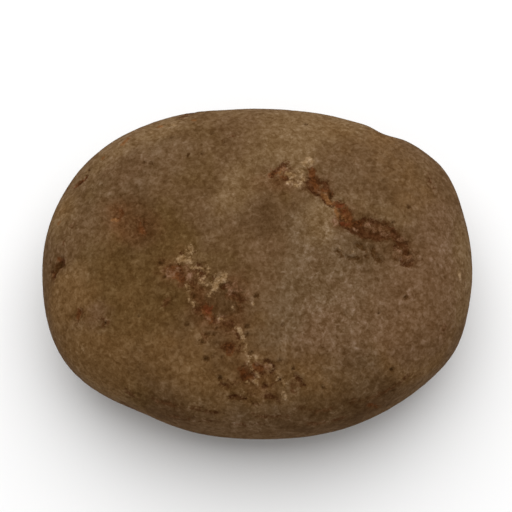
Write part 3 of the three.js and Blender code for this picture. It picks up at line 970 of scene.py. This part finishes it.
# %% [markdown]
# ## Sand grain
# Sandstone is made of pale and dark grains under half a millimetre wide. A plain multiply would
# darken every colour alike, but the dark grains of a brown stone are richer in colour than its
# pale ones. So the tint is the pale grain's colour times the rich grain's colour to a power, and
# the pattern moves that power: more of it is darker and richer. Voronoi cells give single
# grains, a curled noise gathers them, and a wider one clumps them. The effect is a group, so
# that its controls have names.

# %% Group: sand grain
GROUPS = {}
COLOUR = "NodeSocketColor"
COLOUR_UNDER, COLOUR_OVER, COLOUR_OUT = 6, 7, 2  # a Mix node's colour sockets share their names
MIDDLE_POWER = 0.3
CURL_GRAINS = 2.6  # how many grains wide a curl is
CLUMP_GRAINS = 8.0
SPECK_SHARE = 0.4
CURL_SHARE = 4.4
CLUMP_SHARE = 1.6
SHADE_HEIGHT = -0.4  # dark grains lie lower


def blend(tree, under, over, mask, kind="MIX"):
    made = add_node(tree, "ShaderNodeMix", {"Factor": mask}, data_type="RGBA", blend_type=kind)
    for key, value in ((COLOUR_UNDER, under), (COLOUR_OVER, over)):
        fill(tree, made.inputs[key], (*value, 1) if isinstance(value, tuple) else value)
    return made.outputs[COLOUR_OUT]


def multiply(tree, one, other):
    return blend(tree, one, other, 1.0, "MULTIPLY")


def grain_group():
    takes = {"Place": VECTOR, "Grain Size": FLOAT, "Contrast": FLOAT}
    takes.update({"Pale Grain": COLOUR, "Rich Grain": COLOUR})
    gives = {"Tint": COLOUR, "Height": FLOAT}
    tree, given, result = new_tree("sand_grain", "ShaderNodeTree", takes, gives)
    size, place = given["Grain Size"], given["Place"]
    scale = calc(tree, "DIVIDE", 1.0, size)
    cells = add_node(tree, "ShaderNodeTexVoronoi", {"Vector": place, "Scale": scale})
    chance = add_node(tree, "ShaderNodeSeparateXYZ", {0: cells.outputs["Color"]}).outputs[0]
    speck = calc(tree, "MULTIPLY", calc(tree, "SUBTRACT", chance, 0.5), SPECK_SHARE)
    width = calc(tree, "MULTIPLY", size, CURL_GRAINS)
    curls = noise(tree, width, seed=3.0, detail=2.0, roughness=0.7, place=place, curl=0.5)
    width = calc(tree, "MULTIPLY", size, CLUMP_GRAINS)
    clumps = noise(tree, width, seed=5.0, detail=3.0, roughness=0.6, place=place)
    shade = calc(tree, "MULTIPLY_ADD", curls, CURL_SHARE, speck)
    shade = calc(tree, "MULTIPLY_ADD", clumps, CLUMP_SHARE, shade)
    power = calc(tree, "MULTIPLY_ADD", shade, given["Contrast"], MIDDLE_POWER)
    rich = add_node(tree, "ShaderNodeGamma", {"Color": given["Rich Grain"], "Gamma": power})
    tree.links.new(multiply(tree, given["Pale Grain"], rich.outputs[0]), result["Tint"])
    tree.links.new(calc(tree, "MULTIPLY", shade, SHADE_HEIGHT), result["Height"])
    return tree


GROUPS["grain"] = grain_group()
print("made", GROUPS["grain"].name)

# %% [markdown]
# ## Mottling
# No colour on a real stone is even. Mottling is a soft shift up and down over a few
# millimetres, with finer detail inside it. It is added to how strong a film is before the film
# is laid on, which breaks the film up. Added to a colour directly it would look like dirt.


# %% Group: mottling
def mottle_group():
    takes = {"Place": VECTOR, "Spacing": FLOAT, "Seed": FLOAT, "Strength": FLOAT}
    tree, given, result = new_tree("mottling", "ShaderNodeTree", takes, {"Shift": FLOAT})
    spacing, seed, place = given["Spacing"], given["Seed"], given["Place"]
    shift = noise(tree, spacing, seed, detail=6.0, roughness=0.68, place=place)
    tree.links.new(calc(tree, "MULTIPLY", shift, given["Strength"]), result["Shift"])
    return tree


GROUPS["mottle"] = mottle_group()
print("made", GROUPS["mottle"].name)

# %% [markdown]
# ## Ragged edges
# A mark on stone ends at one grain or the next, never along a smooth line. This group moves the
# reach by a coarse and a fine noise and cuts it at zero, so an edge is crisp and ragged but
# stays where it was drawn. A third noise wears gaps in the mark. Noise alone would make such
# shapes as well, but nowhere in particular.

# %% Group: ragged edge
COARSE_SPACING = 1.5 * MM
FINE_SPACING = 0.45 * MM
GAP_SPACING = 0.7 * MM
GAP_SEED = 50.0
GAP_EDGE = (-0.02, 0.14)


def ragged_group():
    takes = {name: FLOAT for name in ("Reach", "Coarse", "Fine", "Softness", "Broken", "Seed")}
    takes["Place"] = VECTOR
    tree, given, result = new_tree("ragged_edge", "ShaderNodeTree", takes, {"Mask": FLOAT})
    seed, place = given["Seed"], given["Place"]
    gap_seed = calc(tree, "ADD", seed, GAP_SEED)
    coarse = noise(tree, COARSE_SPACING, seed, detail=2.0, roughness=0.6, place=place)
    fine = noise(tree, FINE_SPACING, seed, detail=3.0, roughness=0.75, place=place)
    gaps = noise(tree, GAP_SPACING, gap_seed, detail=3.0, roughness=0.75, place=place)
    wander = calc(tree, "MULTIPLY", fine, given["Fine"])
    wander = calc(tree, "MULTIPLY_ADD", coarse, given["Coarse"], wander)
    reach = calc(tree, "ADD", given["Reach"], wander)
    mask = steps(tree, reach, calc(tree, "MULTIPLY", given["Softness"], -1.0), given["Softness"])
    worn = calc(tree, "MULTIPLY", steps(tree, gaps, *GAP_EDGE), given["Broken"])
    mask = calc(tree, "MULTIPLY", mask, calc(tree, "SUBTRACT", 1.0, worn))
    tree.links.new(mask, result["Mask"])
    return tree


GROUPS["ragged"] = ragged_group()
print("made", GROUPS["ragged"].name)

# %% [markdown]
# ## The stone's colours
# Every colour is linear light, not screen values, so a red of 0.114 is a mid brown's and not
# nearly black. The grain's two colours aren't the stone's: they are tints that the colour below
# is multiplied by. A film's cover says how much of the colour below its strongest part hides.
# The edges say how strongly coarse and fine noise move the edge of each kind of stroke, how
# soft the cut is, and how much of the mark is worn away.

# %% Colours, films and edges
COLOURS = {
    "bare": (0.114, 0.062, 0.027),
    "olive": (0.088, 0.0455, 0.0138),
    "cool": (0.124, 0.0735, 0.0355),
    "cream": (0.156, 0.092, 0.041),
    "warm": (0.136, 0.070, 0.0245),
    "pink": (0.128, 0.069, 0.033),
    "red": (0.104, 0.044, 0.015),
    # darker patches, and painted shade along the lower rim
    "dark_and_shade": (0.066, 0.032, 0.011),
    # painted shade for the stone's lower side
    "lower_shade": (0.088, 0.049, 0.0162),
    "stain": (0.074, 0.030, 0.0095),
    "rust": (0.098, 0.033, 0.009),
    "vein": (0.055, 0.0190, 0.0055),
    "scarlet": (0.094, 0.0245, 0.0072),
    "ember": (0.158, 0.068, 0.022),
    "sand": (0.150, 0.074, 0.036),
    "crust": (0.252, 0.156, 0.077),
    "hole": (0.057, 0.0232, 0.0055),
    # painted shade laid into the pits and holes
    "pit": (0.050, 0.0235, 0.0070),
}
PALE_GRAIN = (1.26, 1.35, 1.54)
RICH_GRAIN = (0.458, 0.368, 0.235)
GRAIN_SIZE = 0.34 * MM
FILM_COVER = {
    "olive": 1.0,
    "cool": 0.95,
    "cream": 0.9,
    "warm": 0.9,
    "pink": 0.9,
    "red": 0.9,
    "dark_and_shade": 0.9,
}
EDGES = {
    "stain": {"Coarse": 2.6, "Fine": 3.0, "Softness": 0.42, "Broken": 0.75},
    "rust": {"Coarse": 1.5, "Fine": 2.4, "Softness": 0.3, "Broken": 0.35},
    "vein": {"Coarse": 1.3, "Fine": 2.0, "Softness": 0.2, "Broken": 0.4},
    "scarlet": {"Coarse": 1.0, "Fine": 1.6, "Softness": 0.15, "Broken": 0.4},
    "ember": {"Coarse": 1.0, "Fine": 1.8, "Softness": 0.2, "Broken": 0.2},
    "sand": {"Coarse": 1.2, "Fine": 2.0, "Softness": 0.3, "Broken": 0.45},
    "crust": {"Coarse": 1.0, "Fine": 2.2, "Softness": 0.28, "Broken": 0.5},
    "hole": {"Coarse": 1.2, "Fine": 2.0, "Softness": 0.28, "Broken": 0.5},
}
print("colours:", len(COLOURS), "of which", len(EDGES), "have ragged edges")

# %% [markdown]
# ## Layers of colour
# The colours go on in the order that the real stone got them: bare sandstone, films of silt
# and rust in its pores, then the iron in its cracks, and the pale crusts and dark holes last.
# Painted shade goes in with the first layers: the bare colour darkens towards the foot, and the
# darker film also lies along the lower rim.
# A single colour ramp over a noise would be quicker, but it can't lay one thing over another.

# %% Lay on films and strokes
FILM_SPACING = 4 * MM
FILM_SEED = 10.0
FILM_WANDER = 1.5
FILM_EDGE = (0.1, 1.1)  # the strength at which a film starts to show and is full
STROKE_SEED = 20.0


def use_group(tree, key, sockets):
    made = tree.nodes.new("ShaderNodeGroup")
    made.node_tree = GROUPS[key]
    for name, value in sockets.items():
        fill(tree, made.inputs[name], value)
    return made.outputs


def attribute(tree, name):
    return add_node(tree, "ShaderNodeAttribute", attribute_name=name).outputs["Fac"]


def lay_films(tree, place):
    # the bare colour darkens towards the foot as painted shade
    colour = blend(tree, COLOURS["bare"], COLOURS["lower_shade"], attribute(tree, "lower_shade"))
    mottling = {"Place": place, "Spacing": FILM_SPACING, "Strength": FILM_WANDER}
    for number, (name, cover) in enumerate(FILM_COVER.items()):
        shift = use_group(tree, "mottle", {**mottling, "Seed": FILM_SEED + number})["Shift"]
        film = calc(tree, "ADD", attribute(tree, name), shift)
        colour = blend(tree, colour, COLOURS[name], steps(tree, film, *FILM_EDGE, 0.0, cover))
    return colour


def lay_strokes(tree, place, colour):
    for number, (name, edge) in enumerate(EDGES.items()):
        sockets = {"Place": place, "Reach": attribute(tree, name), **edge, "Seed": STROKE_SEED + number}
        colour = blend(tree, colour, COLOURS[name], use_group(tree, "ragged", sockets)["Mask"])
    return colour


print("layers:", ", ".join(["bare", "lower_shade", *FILM_COVER, *EDGES]))

# %% [markdown]
# ## The stone's material
# Over the layers painted shade darkens the pits and holes, and the grain is multiplied on,
# stronger in the scars and in the cool films, where the sand lies open. A dry river stone is
# all but matt, so its roughness is high and shifts only a little, and its highlight is nearly off.
# The grain's own height goes into a small bump, because grains are finer than the squares of the skin.

# %% Mix the stone
HIGHLIGHT = 0.03
PIT_SHADE = 0.35
CONTRAST = 0.52
SCARRED_CONTRAST = 0.20
COOL_CONTRAST = 0.06
ROUGHNESS = 0.86
ROUGHNESS_SHIFT = {"Spacing": 3 * MM, "Seed": 40.0, "Strength": 0.2}
GRAIN_BUMP = {"Strength": 0.6, "Distance": 0.1 * MM}


def mix_stone():
    stone.use_nodes = True
    tree = stone.node_tree
    shader = tree.nodes["Principled BSDF"]
    shader.inputs["Specular IOR Level"].default_value = HIGHLIGHT
    place = add_node(tree, "ShaderNodeTexCoord").outputs["Object"]
    colour = lay_strokes(tree, place, lay_films(tree, place))
    # painted shade: the pits and holes take on the pit colour in proportion to their bowls
    pit_shade = calc(tree, "MULTIPLY", attribute(tree, "pitted"), PIT_SHADE)
    colour = blend(tree, colour, COLOURS["pit"], pit_shade)
    contrast = calc(tree, "MULTIPLY_ADD", attribute(tree, "scarred"), SCARRED_CONTRAST, CONTRAST)
    contrast = calc(tree, "MULTIPLY_ADD", attribute(tree, "cool"), COOL_CONTRAST, contrast)
    sockets = {"Place": place, "Grain Size": GRAIN_SIZE, "Contrast": contrast}
    sockets.update({"Pale Grain": (*PALE_GRAIN, 1), "Rich Grain": (*RICH_GRAIN, 1)})
    grain = use_group(tree, "grain", sockets)
    tree.links.new(multiply(tree, colour, grain["Tint"]), shader.inputs["Base Color"])
    shift = use_group(tree, "mottle", {"Place": place, **ROUGHNESS_SHIFT})["Shift"]
    tree.links.new(calc(tree, "ADD", shift, ROUGHNESS), shader.inputs["Roughness"])
    bump = add_node(tree, "ShaderNodeBump", {"Height": grain["Height"], **GRAIN_BUMP})
    tree.links.new(bump.outputs[0], shader.inputs["Normal"])
    return tree


print("the stone's material has", len(mix_stone().nodes), "nodes")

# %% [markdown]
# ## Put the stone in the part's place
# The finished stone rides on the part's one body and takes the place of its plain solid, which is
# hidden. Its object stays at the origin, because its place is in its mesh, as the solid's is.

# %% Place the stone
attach(pebble, "root")
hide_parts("pebble")
print("the stone is", [round(side / MM, 2) for side in pebble.dimensions], "mm")
